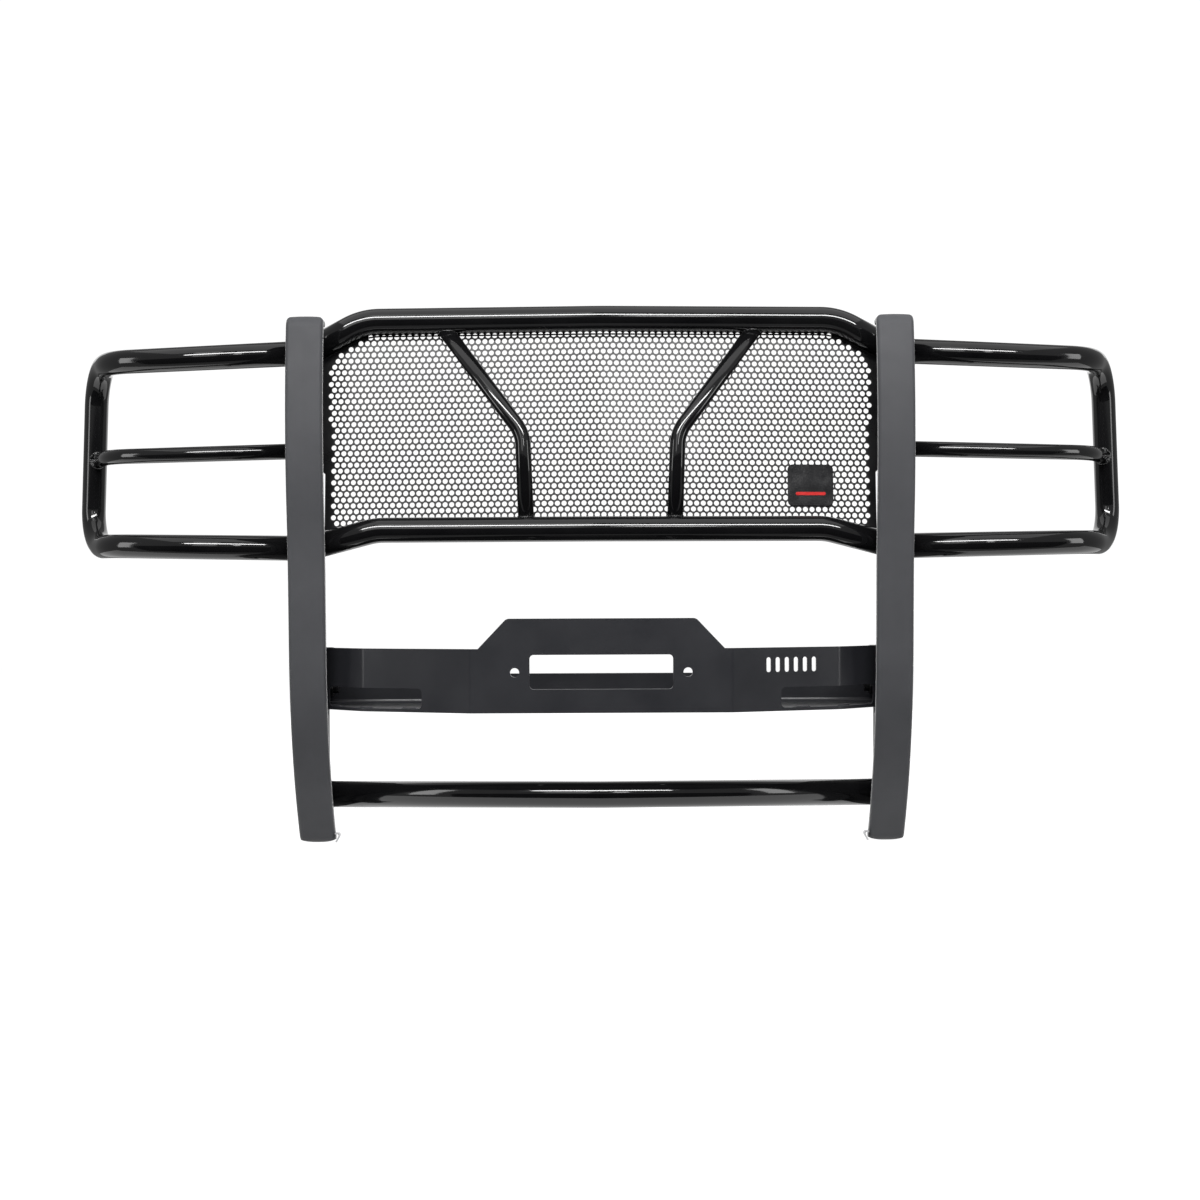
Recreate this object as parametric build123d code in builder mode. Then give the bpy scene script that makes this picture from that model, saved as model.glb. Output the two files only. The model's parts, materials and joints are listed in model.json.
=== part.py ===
from build123d import *
import os
from math import cos, radians, sin, tan

os.makedirs("parts", exist_ok=True)

# Winch-mount grille guard for a pickup truck. Millimetres. +X is to the right of someone facing
# the guard, -Y is the front, +Z is up. The origin is at the middle of the footprint, at the height
# of the lowest point of the rubber strips. Right-hand pieces are drawn first and then mirrored.

# ---------------------------------------------------------------- driving dimensions
HALF_DEPTH = 171.5  # the guard's front plane is at -HALF_DEPTH and its rearmost tube at +HALF_DEPTH
FACE_Y = -HALF_DEPTH  # front plane of the winch plate
UPRIGHT_X = 442.0  # centre plane of each upright

TUBE_D = 38.1
TUBE_WALL = 2.4
SLIM_D = 24.0
SLIM_WALL = 2.0
BOTTOM_TUBE_D = 41.3

WEB = 6.0
FLANGE_WIDTH = 50.0
FLANGE = 5.0
RUBBER = 13.0
RUBBER_WIDTH = 55.5
RUBBER_EDGE_R = 6.0

# Front outline of the rubber, as lean angles from upright and bend radii, from the top down.
APEX_DEPTH = 44.7  # how far the foremost point of the rubber is behind the winch plate
UPPER_R = 900.0
LOWER_R = 570.0
CURL_R = 20.0
TOP_LEAN = 9.3
WAIST_LEAN = 9.0
RUN_LEAN = 3.0
RUN_LENGTH = 107.0
END_LEAN = 34.3
TOP_CURL = 130.0

# Grille: two flat halves that meet in a shallow prow and lean back at the top.
PROW = 3.4
GRILLE_LEAN = 5.5
CROSSBAR_DEPTH = 78.0  # depth of the lower crossbar's centre behind the winch plate, at the prow
LOWER_BAR_Z = 482.7
UPPER_BAR_Z = 804.0
UPPER_BEND_X = 362.0
LOWER_BEND_X = 341.0
UPPER_DROP = 27.9
LOWER_DROP = 14.6
CROSSBAR_BEND_R = 100.0
PROW_BEND_R = 250.0

SHEET = 2.6
HOLE_D = 7.8
HOLE_PITCH = 10.1
ROW_PITCH = 9.0
ROWS = 33
TOP_ROW_Z = 783.0
SHEET_EDGE_X = 421.6

BOTTOM_TUBE_Z = 75.0
BOTTOM_TUBE_DEPTH = 155.7

# Wraps round the headlights.
WRAP_DEPTH = 102.0
WRAP_SIDE_Z = (751.9, 603.5, 455.9)
WRAP_BEND_Z = (755.2, 605.9, 464.5)
WRAP_BEND_X = 773.0
WRAP_BEND_DEPTH = 231.0
WRAP_END_X = (820.0, 824.5, 829.0)
WRAP_BEND_R = 90.0
WRAP_CORNER_R = 62.0

# Winch plate and tray.
PLATE = 6.0
FLAT_HALF = 192.0
WING_BEND_X = 358.0
WING_SWEEP = 22.5
WING_BEND_R = 8.0
TRAY_HALF = 433.0
PLATE_BOTTOM_Z = 210.2
WING_TOP_Z = 304.5
PLATE_TOP_Z = 348.8
RAISED_HALF = 139.0
SHOULDER_X = 181.0
FAIRLEAD_HALF = 105.2
FAIRLEAD_Z = (245.0, 295.5)
FAIRLEAD_BOLT_X = 127.0
FAIRLEAD_BOLT_Z = 269.7
FAIRLEAD_BOLT_D = 13.5
WING_SLOT_X = (266.0, 416.0)
WING_SLOT_TOP_Z = 245.6
TRAY = 5.0
TRAY_DEPTH = 215.0
TRAY_WALL_Z = 260.6
WINCH_PATTERN = (254.0, 114.3)
WINCH_BOLT_D = 11.0
WINCH_CENTRE_DEPTH = 107.0
VENT_X = 282.0
VENT_COUNT = 6
VENT_PITCH = 14.0
VENT_SIZE = (6.5, 22.0)
VENT_Z = 279.0

# Frame brackets and hardware.
BRACKET = 8.0
FRAME_HOLES = (50.0, 90.0)
FRAME_HOLE_D = 14.5
FRAME_HOLE_DEPTH = 290.0
FRAME_HOLE_Z = 150.0
TRAY_BOLT_D = 16.0
TRAY_BOLT_PLACES = ((180.0, 292.0), (180.0, 240.0))
BRACKET_BOLT_D = 12.0
BRACKET_BOLT_PLACES = ((212.0, 195.0), (212.0, 150.0), (212.0, 110.0))
STUD_D = 6.0
STUD_SIDE = 15.0
BOLT_PLAY = 0.5

# ---------------------------------------------------------------- values worked out from those
WEB_IN = UPRIGHT_X - WEB / 2
WEB_OUT = UPRIGHT_X + WEB / 2
TUBE_R = TUBE_D / 2
APEX_Z = (
    UPPER_R * (2 * sin(radians(WAIST_LEAN)) - sin(radians(RUN_LEAN)))
    + RUN_LENGTH * cos(radians(RUN_LEAN))
    + LOWER_R * (sin(radians(END_LEAN)) - sin(radians(RUN_LEAN)))
    + CURL_R * (1 - sin(radians(END_LEAN)))
)
STRIP_TOP = (
    FACE_Y + APEX_DEPTH + UPPER_R * (1 - cos(radians(TOP_LEAN))),
    APEX_Z + UPPER_R * sin(radians(TOP_LEAN)),
)
STRIP_TOP_Z = STRIP_TOP[1] + CURL_R * (1 - sin(radians(TOP_LEAN)))
WING_BEND_Y = FACE_Y + (WING_BEND_X - FLAT_HALF) * tan(radians(WING_SWEEP))
WING_END_Y = WING_BEND_Y + TRAY_HALF - WING_BEND_X
REAR_TUBE_Y = HALF_DEPTH - TUBE_R
THROUGH = 1000.0
OVERCUT = 1.0  # how far a cutting shape starts outside what it cuts


def grille_y(x, z, behind=0.0):
    """Y of the crossbars' centre plane at a place, or of a plane parallel to it and behind it."""
    square = cos(radians(PROW)) * cos(radians(GRILLE_LEAN))
    side = abs(x) * tan(radians(PROW)) / cos(radians(GRILLE_LEAN))
    rise = (z - LOWER_BAR_Z) * tan(radians(GRILLE_LEAN))
    return FACE_Y + CROSSBAR_DEPTH + side + rise + behind / square


def front_curve(inset):
    """Draw the upright's front outline from the top down, a given depth behind the rubber's face."""
    lean = radians(TOP_LEAN)
    start = (STRIP_TOP[0] + inset * cos(lean), STRIP_TOP[1] - inset * sin(lean))
    upper = JernArc(start, (-sin(lean), -cos(lean)), UPPER_R - inset, TOP_LEAN + WAIST_LEAN)
    waist = JernArc(upper @ 1, upper % 1, UPPER_R + inset, RUN_LEAN - WAIST_LEAN)
    run = Line(waist @ 1, waist @ 1 + (waist % 1) * RUN_LENGTH)
    lower = JernArc(run @ 1, run % 1, LOWER_R - inset, END_LEAN - RUN_LEAN)
    return [upper, waist, run, lower]


def start_plane(route):
    """The plane square to the start of a route, with its X axis level."""
    return Plane(origin=route @ 0, z_dir=route % 0)


def ring(diameter, wall):
    """Draw a tube's section."""
    Circle(diameter / 2)
    Circle(diameter / 2 - wall, mode=Mode.SUBTRACT)


def solid_bar(points, radii, diameter):
    """A filled bar along a bent route, used to cope the end of a tube that lands on it."""
    with BuildPart() as bar:
        with BuildLine() as route:
            FilletPolyline(*points, radius=radii)
        with BuildSketch(start_plane(route.wire())):
            Circle(diameter / 2)
        sweep()
    return bar.part


def finish(piece, name):
    """Label a finished piece and write its file."""
    piece.part.label = name
    export_step(piece.part, f"parts/{name}.step")


# ---------------------------------------------------------------- uprights
WEB_TOP_Z = STRIP_TOP[1] - 5.0
WEB_SLIM_Y = FACE_Y + 155.0
WEB_DEEP_Y = FACE_Y + 240.0
WEB_SHOULDER_Z = (430.0, 345.0)
FOOT_CHAMFER = 22.0
TOP_ARCH = 3.0
FOOT_ARCH = 5.0
TOP_EDGE_R = 8.0
FOOT_EDGE_R = 12.0
REAR_CORNER_R = 12.0
TOP_CORNER_R = 18.0

with BuildPart() as right_upright_web:
    with BuildSketch(Plane.YZ.offset(WEB_IN)):
        with BuildLine():
            front = front_curve(RUBBER + FLANGE)
            foot = front[3] @ 1
            Polyline(
                front[0] @ 0,
                (WEB_SLIM_Y, WEB_TOP_Z),
                (WEB_SLIM_Y, WEB_SHOULDER_Z[0]),
                (WEB_DEEP_Y, WEB_SHOULDER_Z[1]),
                (WEB_DEEP_Y, foot.Y + FOOT_CHAMFER),
                (WEB_DEEP_Y - FOOT_CHAMFER, foot.Y),
                foot,
            )
        make_face()
    extrude(amount=WEB)
    rear_corners = right_upright_web.edges().filter_by(Axis.X).group_by(Axis.Y)[-1]
    fillet(rear_corners, REAR_CORNER_R)
    top_corner = right_upright_web.edges().filter_by(Axis.X).group_by(Axis.Z)[-1].sort_by(Axis.Y)[-1]
    fillet(top_corner, TOP_CORNER_R)
    with BuildSketch(Plane.YZ.offset(WEB_IN)):
        with Locations(*[(FACE_Y + depth, z) for depth, z in TRAY_BOLT_PLACES]):
            Circle(TRAY_BOLT_D / 2 + BOLT_PLAY)
        with Locations(*[(FACE_Y + depth, z) for depth, z in BRACKET_BOLT_PLACES]):
            Circle(BRACKET_BOLT_D / 2 + BOLT_PLAY)
    extrude(amount=WEB, mode=Mode.SUBTRACT)

# The studs stand on the line where rubber and flange meet, square to it, each side of the web.
SIDE_PLANE = Plane.YZ.offset(UPRIGHT_X)
with BuildLine() as seat:
    seat_arcs = front_curve(RUBBER)
STUD_SEATS = ((0, 0.12), (0, 0.55), (1, 0.9), (2, 0.55), (3, 0.3), (3, 0.62), (3, 0.95))


def stud_places():
    """Planes at each stud of the right strip, facing square out of the flange to the front."""
    places = []
    for arc, share in STUD_SEATS:
        point = seat_arcs[arc] @ share
        heading = seat_arcs[arc] % share
        for side in (-STUD_SIDE, STUD_SIDE):
            middle = (UPRIGHT_X + side, point.X, point.Y)
            places.append(Plane(origin=middle, x_dir=(1, 0, 0), z_dir=(0, heading.Y, -heading.X)))
    return places


STUD_IN_RUBBER = 6.0
STUD_LENGTH = 18.0

with BuildPart() as right_upright_flange:
    with BuildSketch(Plane.YZ.offset(UPRIGHT_X)):
        with BuildLine():
            outer = front_curve(RUBBER)
            inner = front_curve(RUBBER + FLANGE)
            Line(outer[0] @ 0, inner[0] @ 0)
            Line(outer[3] @ 1, inner[3] @ 1)
        make_face()
    extrude(amount=FLANGE_WIDTH / 2, both=True)
    for place in stud_places():
        with BuildSketch(place.offset(OVERCUT)):
            Circle(STUD_D / 2 + BOLT_PLAY / 2)
        extrude(amount=-FLANGE - 2 * OVERCUT, mode=Mode.SUBTRACT)

with BuildLine() as strip_line:
    middle = front_curve(RUBBER / 2)
    curl_centre = (
        STRIP_TOP[0] + CURL_R * cos(radians(TOP_LEAN)),
        STRIP_TOP[1] - CURL_R * sin(radians(TOP_LEAN)),
    )
    CenterArc(curl_centre, CURL_R - RUBBER / 2, 180 - TOP_LEAN - TOP_CURL, TOP_CURL)
    JernArc(middle[3] @ 1, middle[3] % 1, CURL_R - RUBBER / 2, 90 - END_LEAN)
strip_route = SIDE_PLANE * strip_line.wire()
CROWN_CUT = 0.5  # how much the arched top takes off the curl's highest line

with BuildPart() as right_rubber_strip:
    with BuildSketch(Plane(origin=strip_route @ 0, x_dir=(1, 0, 0), z_dir=strip_route % 0)):
        band = Rectangle(RUBBER_WIDTH, RUBBER)
        fillet(band.vertices().group_by(Axis.Y)[-1], RUBBER_EDGE_R)
    sweep(path=strip_route)
    with BuildSketch(Plane.XZ):
        with BuildLine():
            side = RUBBER_WIDTH / 2
            crown = ThreePointArc(
                (UPRIGHT_X - side, STRIP_TOP_Z - TOP_ARCH),
                (UPRIGHT_X, STRIP_TOP_Z - CROWN_CUT),
                (UPRIGHT_X + side, STRIP_TOP_Z - TOP_ARCH),
            )
            heel = ThreePointArc(
                (UPRIGHT_X + side, FOOT_ARCH), (UPRIGHT_X, 0), (UPRIGHT_X - side, FOOT_ARCH)
            )
            Line(crown @ 1, heel @ 0)
            Line(heel @ 1, crown @ 0)
        outline = make_face()
        fillet(outline.vertices().group_by(Axis.Y)[-1], TOP_EDGE_R)
        fillet(outline.vertices().group_by(Axis.Y)[0], FOOT_EDGE_R)
    extrude(amount=THROUGH, both=True, mode=Mode.INTERSECT)
    for place in stud_places():
        with BuildSketch(place.offset(-OVERCUT)):
            Circle(STUD_D / 2)
        extrude(amount=STUD_IN_RUBBER + OVERCUT, mode=Mode.SUBTRACT)

# ---------------------------------------------------------------- crossbars and braces
PAST_WEB = 12.0  # how far a route runs on past the web before the tube is cut off at it


def crossbar_points(bar_z, bend_x, drop):
    """Centre line of a crossbar: level in the middle, bent down at both ends, in the grille's prow."""
    end_x = WEB_IN + PAST_WEB
    end_z = bar_z - (end_x - bend_x) * tan(radians(drop))
    places = [(-end_x, end_z), (-bend_x, bar_z), (0, bar_z), (bend_x, bar_z), (end_x, end_z)]
    return [(x, grille_y(x, z), z) for x, z in places]


CROSSBAR_RADII = (CROSSBAR_BEND_R, PROW_BEND_R, CROSSBAR_BEND_R)
upper_points = crossbar_points(UPPER_BAR_Z, UPPER_BEND_X, UPPER_DROP)
lower_points = crossbar_points(LOWER_BAR_Z, LOWER_BEND_X, LOWER_DROP)

with BuildPart() as upper_crossbar:
    with BuildLine() as upper_route:
        FilletPolyline(*upper_points, radius=CROSSBAR_RADII)
    with BuildSketch(start_plane(upper_route.wire())):
        ring(TUBE_D, TUBE_WALL)
    sweep(path=upper_route.wire())
    split(bisect_by=Plane.YZ.offset(WEB_IN), keep=Keep.BOTTOM)
    split(bisect_by=Plane.YZ.offset(-WEB_IN), keep=Keep.TOP)

with BuildPart() as lower_crossbar:
    with BuildLine() as lower_route:
        FilletPolyline(*lower_points, radius=CROSSBAR_RADII)
    with BuildSketch(start_plane(lower_route.wire())):
        ring(TUBE_D, TUBE_WALL)
    sweep(path=lower_route.wire())
    split(bisect_by=Plane.YZ.offset(WEB_IN), keep=Keep.BOTTOM)
    split(bisect_by=Plane.YZ.offset(-WEB_IN), keep=Keep.TOP)

with BuildPart() as bottom_cross_tube:
    with BuildLine() as bottom_route:
        reach = WEB_IN + PAST_WEB
        bottom_y = FACE_Y + BOTTOM_TUBE_DEPTH
        FilletPolyline(
            (-reach, bottom_y + reach * tan(radians(PROW)), BOTTOM_TUBE_Z),
            (0, bottom_y, BOTTOM_TUBE_Z),
            (reach, bottom_y + reach * tan(radians(PROW)), BOTTOM_TUBE_Z),
            radius=(PROW_BEND_R,),
        )
    with BuildSketch(start_plane(bottom_route.wire())):
        ring(BOTTOM_TUBE_D, TUBE_WALL)
    sweep(path=bottom_route.wire())
    split(bisect_by=Plane.YZ.offset(WEB_IN), keep=Keep.BOTTOM)
    split(bisect_by=Plane.YZ.offset(-WEB_IN), keep=Keep.TOP)

BRACE_SETBACK = 5.0
BRACE_TOP_X = 247.4
BRACE_BEND = (118.0, 629.0)
BRACE_FOOT_X = 112.0
BRACE_BEND_R = 60.0

crossbar_solids = [
    solid_bar(upper_points, CROSSBAR_RADII, TUBE_D),
    solid_bar(lower_points, CROSSBAR_RADII, TUBE_D),
]

with BuildPart() as right_brace:
    with BuildLine() as brace_route:
        brace_places = ((BRACE_TOP_X, UPPER_BAR_Z), BRACE_BEND, (BRACE_FOOT_X, LOWER_BAR_Z))
        brace_points = [(x, grille_y(x, z, BRACE_SETBACK), z) for x, z in brace_places]
        FilletPolyline(*brace_points, radius=(BRACE_BEND_R,))
    with BuildSketch(start_plane(brace_route.wire())):
        ring(SLIM_D, SLIM_WALL)
    sweep(path=brace_route.wire())
    add(crossbar_solids, mode=Mode.SUBTRACT)

# ---------------------------------------------------------------- perforated sheet
# Each half is flat. The seam between the halves runs down the prow line, through the middle of the
# holes that stand on it.
lean = radians(GRILLE_LEAN)
prow = radians(PROW)
sheet_plane = Plane(
    origin=(0, grille_y(0, LOWER_BAR_Z, TUBE_R), LOWER_BAR_Z),
    x_dir=(cos(prow), sin(prow) * cos(lean), -sin(prow) * sin(lean)),
    z_dir=(sin(prow), -cos(prow) * cos(lean), cos(prow) * sin(lean)),
)
TOP_ROW = (TOP_ROW_Z - LOWER_BAR_Z) / cos(lean)
EAR_Z = 570.0
FULL_ROWS = 15  # rows above the ear, which run on to the last half pitch
LAST_HOLE = 41.0  # place of the outermost hole, in pitches from the seam
HOLE_R = HOLE_D / 2


def row_limit(row):
    """How far out the holes of a row may go, in pitches: the top corners follow the bent crossbar."""
    if row < FULL_ROWS:
        return min(35 + 1.5 * row, 38 + 0.5 * row, LAST_HOLE)
    return LAST_HOLE - 0.5


def hole_places():
    """Centres of the right half's whole holes, in staggered rows. The holes on the seam are left out."""
    places = []
    for row in range(ROWS):
        step = 0.5 if row % 2 else 1.0
        while step <= row_limit(row):
            places.append((step * HOLE_PITCH, TOP_ROW - row * ROW_PITCH))
            step += 1.0
    return places


def on_sheet(x, z):
    """The point of the sheet's front face that lies at a given X and Z."""
    return Vector(x, grille_y(x, z, TUBE_R), z)


with BuildLine() as sheet_outline:
    ear_x = WEB_IN
    edge = Polyline(
        on_sheet(0, LOWER_BAR_Z),
        on_sheet(LOWER_BEND_X, LOWER_BAR_Z),
        on_sheet(SHEET_EDGE_X, LOWER_BAR_Z - (SHEET_EDGE_X - LOWER_BEND_X) * tan(radians(LOWER_DROP))),
        on_sheet(SHEET_EDGE_X, EAR_Z),
        on_sheet(ear_x, EAR_Z + ear_x - SHEET_EDGE_X),
        on_sheet(ear_x, UPPER_BAR_Z - (ear_x - UPPER_BEND_X) * tan(radians(UPPER_DROP))),
        on_sheet(UPPER_BEND_X, UPPER_BAR_Z),
        on_sheet(0, UPPER_BAR_Z),
    )
    seam_end = edge @ 1
    for row in range(0, ROWS, 2):
        height = TOP_ROW - row * ROW_PITCH
        notch = ThreePointArc(
            sheet_plane.from_local_coords((0, height + HOLE_R)),
            sheet_plane.from_local_coords((HOLE_R, height)),
            sheet_plane.from_local_coords((0, height - HOLE_R)),
        )
        Line(seam_end, notch @ 0)
        seam_end = notch @ 1
    Line(seam_end, edge @ 0)

hole_wires = [
    Wire.make_circle(
        HOLE_R, Plane(sheet_plane.from_local_coords(place), sheet_plane.x_dir, sheet_plane.z_dir)
    )
    for place in hole_places()
]
perforated_face = Face(sheet_outline.wire(), hole_wires)

# The sheet's thickness runs along Y, so that the two halves meet flush on the seam.
SHEET_THROUGH = SHEET * cos(lean) * cos(prow)

with BuildPart() as right_punch_sheet:
    extrude(to_extrude=perforated_face, amount=SHEET, dir=(0, 1, 0))

# ---------------------------------------------------------------- wraps


def wrap_run(level):
    """Start, bend and end of one leg of a wrap, from inside the web to the outer upright tube."""
    run = WRAP_BEND_X - WEB_OUT
    sweep_back = (WRAP_BEND_DEPTH - WRAP_DEPTH) / run
    rise = (WRAP_BEND_Z[level] - WRAP_SIDE_Z[level]) / run
    start = (
        WEB_OUT - PAST_WEB,
        FACE_Y + WRAP_DEPTH - PAST_WEB * sweep_back,
        WRAP_SIDE_Z[level] - PAST_WEB * rise,
    )
    bend = (WRAP_BEND_X, FACE_Y + WRAP_BEND_DEPTH, WRAP_BEND_Z[level])
    end = (WRAP_END_X[level], REAR_TUBE_Y, WRAP_BEND_Z[level])
    return [start, bend, end]


hoop_points = wrap_run(0) + wrap_run(2)[::-1]
HOOP_RADII = (WRAP_BEND_R, WRAP_CORNER_R, WRAP_CORNER_R, WRAP_BEND_R)

with BuildPart() as right_wrap_hoop:
    with BuildLine() as hoop_route:
        FilletPolyline(*hoop_points, radius=HOOP_RADII)
    with BuildSketch(start_plane(hoop_route.wire())):
        ring(TUBE_D, TUBE_WALL)
    sweep(path=hoop_route.wire())
    split(bisect_by=Plane.YZ.offset(WEB_OUT), keep=Keep.TOP)

hoop_solid = solid_bar(hoop_points, HOOP_RADII, TUBE_D)

with BuildPart() as right_wrap_middle_bar:
    with BuildLine() as middle_route:
        FilletPolyline(*wrap_run(1), radius=(WRAP_BEND_R,))
    with BuildSketch(start_plane(middle_route.wire())):
        ring(SLIM_D, SLIM_WALL)
    sweep(path=middle_route.wire())
    add(hoop_solid, mode=Mode.SUBTRACT)
    split(bisect_by=Plane.YZ.offset(WEB_OUT), keep=Keep.TOP)

# ---------------------------------------------------------------- winch plate and tray


def wing_curve(inset):
    """Draw the winch plate's plan from its left wing tip to its right one, at a depth in the plate."""
    turn = radians(WING_SWEEP)
    first = (FLAT_HALF - inset * tan(turn / 2), FACE_Y + inset)
    reach = inset / cos(turn / 2)
    second = (WING_BEND_X - reach * sin(1.5 * turn), WING_BEND_Y + reach * cos(1.5 * turn))
    tip = (TRAY_HALF, second[1] + (TRAY_HALF - second[0]) * tan(2 * turn))
    right_side = [first, second, tip]
    left_side = [(-x, y) for x, y in reversed(right_side)]
    bend_r = WING_BEND_R + PLATE - inset
    return FilletPolyline(*left_side, *right_side, radius=bend_r)


SHOULDER_R = 12.0
RAISED_R = 10.0
OPENING_R = 6.0
SLOT_R = 7.0

with BuildPart() as winch_face_plate:
    with BuildSketch(Plane.XY.offset(PLATE_BOTTOM_Z)):
        with BuildLine():
            plate_front = wing_curve(0)
            plate_back = wing_curve(PLATE)
            Line(plate_front @ 0, plate_back @ 0)
            Line(plate_front @ 1, plate_back @ 1)
        make_face()
    extrude(amount=PLATE_TOP_Z - PLATE_BOTTOM_Z)
    with BuildSketch(Plane.XZ):
        with BuildLine():
            Polyline(
                (-WEB_IN, 0),
                (-WEB_IN, WING_TOP_Z),
                (-SHOULDER_X, WING_TOP_Z),
                (-RAISED_HALF, PLATE_TOP_Z),
                (RAISED_HALF, PLATE_TOP_Z),
                (SHOULDER_X, WING_TOP_Z),
                (WEB_IN, WING_TOP_Z),
                (WEB_IN, 0),
                close=True,
            )
        front_view = make_face()
        corners = front_view.vertices().filter_by_position(Axis.X, -WEB_IN + 1, WEB_IN - 1)
        fillet(corners.group_by(Axis.Y)[-1], RAISED_R)
        fillet(corners.group_by(Axis.Y)[0], SHOULDER_R)
    extrude(amount=THROUGH, both=True, mode=Mode.INTERSECT)
    with BuildSketch(Plane.XZ):
        with Locations((0, sum(FAIRLEAD_Z) / 2)):
            RectangleRounded(2 * FAIRLEAD_HALF, FAIRLEAD_Z[1] - FAIRLEAD_Z[0], OPENING_R)
        with Locations((-FAIRLEAD_BOLT_X, FAIRLEAD_BOLT_Z), (FAIRLEAD_BOLT_X, FAIRLEAD_BOLT_Z)):
            Circle(FAIRLEAD_BOLT_D / 2)
        slot_bottom = PLATE_BOTTOM_Z + TRAY
        slot_middle = (sum(WING_SLOT_X) / 2, (slot_bottom + WING_SLOT_TOP_Z) / 2)
        with Locations(slot_middle, (-slot_middle[0], slot_middle[1])):
            RectangleRounded(WING_SLOT_X[1] - WING_SLOT_X[0], WING_SLOT_TOP_Z - slot_bottom, SLOT_R)
        with Locations((VENT_X, VENT_Z)):
            with GridLocations(VENT_PITCH, 0, VENT_COUNT, 1):
                SlotOverall(VENT_SIZE[1], VENT_SIZE[0], rotation=90)
    extrude(amount=THROUGH, both=True, mode=Mode.SUBTRACT)

TRAY_REAR_Y = FACE_Y + TRAY_DEPTH
TRAY_BEND_R = 7.0
WALL_CORNER_R = 10.0

with BuildPart() as winch_tray:
    with BuildSketch(Plane.XY.offset(PLATE_BOTTOM_Z)):
        with BuildLine():
            floor_front = wing_curve(PLATE)
            Polyline(
                floor_front @ 1, (TRAY_HALF, TRAY_REAR_Y), (-TRAY_HALF, TRAY_REAR_Y), floor_front @ 0
            )
        make_face()
        with Locations((0, FACE_Y + WINCH_CENTRE_DEPTH)):
            with GridLocations(*WINCH_PATTERN, 2, 2):
                Circle(WINCH_BOLT_D / 2, mode=Mode.SUBTRACT)
    extrude(amount=TRAY)
    with BuildSketch(Plane.XY.offset(PLATE_BOTTOM_Z)):
        with Locations((0, TRAY_REAR_Y - TRAY / 2)):
            Rectangle(2 * TRAY_HALF, TRAY)
    extrude(amount=TRAY_WALL_Z - PLATE_BOTTOM_Z)
    level_edges = winch_tray.edges().filter_by(Axis.X)
    fillet(level_edges.group_by(Axis.Z)[0].sort_by(Axis.Y)[-1], TRAY_BEND_R + TRAY)
    inner_y = TRAY_REAR_Y - TRAY
    level_edges = winch_tray.edges().filter_by(Axis.X)
    inner_edges = level_edges.filter_by_position(Axis.Y, inner_y - 0.1, inner_y + 0.1)
    fillet(inner_edges.sort_by(Axis.Z)[0], TRAY_BEND_R)
    wall_corners = winch_tray.edges().filter_by(Axis.Y).group_by(Axis.Z)[-1]
    fillet(wall_corners, WALL_CORNER_R)

SIDE_PLATE_TOP_Z = 318.0
SIDE_PLATE_R = 14.0

with BuildPart() as right_tray_side_plate:
    with BuildSketch(Plane.YZ.offset(TRAY_HALF)):
        with Locations((WING_END_Y, PLATE_BOTTOM_Z)):
            blank = Rectangle(
                TRAY_REAR_Y - WING_END_Y, SIDE_PLATE_TOP_Z - PLATE_BOTTOM_Z, align=(Align.MIN, Align.MIN)
            )
        fillet(blank.vertices().group_by(Axis.Y)[-1], SIDE_PLATE_R)
        with Locations(*[(FACE_Y + depth, z) for depth, z in TRAY_BOLT_PLACES]):
            Circle(TRAY_BOLT_D / 2 + BOLT_PLAY, mode=Mode.SUBTRACT)
    extrude(amount=WEB_IN - TRAY_HALF)

# ---------------------------------------------------------------- frame brackets
BRACKET_OUTLINE = ((185, 85), (335, 92), (335, 208), (235, 222), (185, 222))
BRACKET_CORNER_R = 10.0

with BuildPart() as right_frame_bracket:
    with BuildSketch(Plane.YZ.offset(WEB_OUT)):
        Polygon(*[(FACE_Y + depth, z) for depth, z in BRACKET_OUTLINE], align=None)
        fillet(vertices(), BRACKET_CORNER_R)
        with Locations(*[(FACE_Y + depth, z) for depth, z in BRACKET_BOLT_PLACES]):
            Circle(BRACKET_BOLT_D / 2 + BOLT_PLAY, mode=Mode.SUBTRACT)
        with Locations((FACE_Y + FRAME_HOLE_DEPTH, FRAME_HOLE_Z)):
            with GridLocations(*FRAME_HOLES, 2, 2):
                Circle(FRAME_HOLE_D / 2, mode=Mode.SUBTRACT)
    extrude(amount=BRACKET)

# ---------------------------------------------------------------- strip end clips
# A thin lip that comes out from behind the foot of each strip and hooks down along its inner edge.
CLIP = 2.3
CLIP_DEPTH = (165.0, 177.0)
CLIP_START = 15.2
CLIP_HOOK = ((5.75, 0.0), (7.45, 3.2), (1.75, 13.2))  # across from the edge and down from the start

with BuildPart() as right_strip_end_clip:
    with BuildSketch(Plane.XZ.offset(-FACE_Y - CLIP_DEPTH[0])):
        edge_x = UPRIGHT_X - RUBBER_WIDTH / 2
        with BuildLine():
            hook = [(edge_x - across, CLIP_START - down) for across, down in CLIP_HOOK]
            FilletPolyline((edge_x, CLIP_START), *hook, radius=(1.5, 3.0))
        trace(line_width=CLIP)
    extrude(amount=CLIP_DEPTH[0] - CLIP_DEPTH[1])

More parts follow.
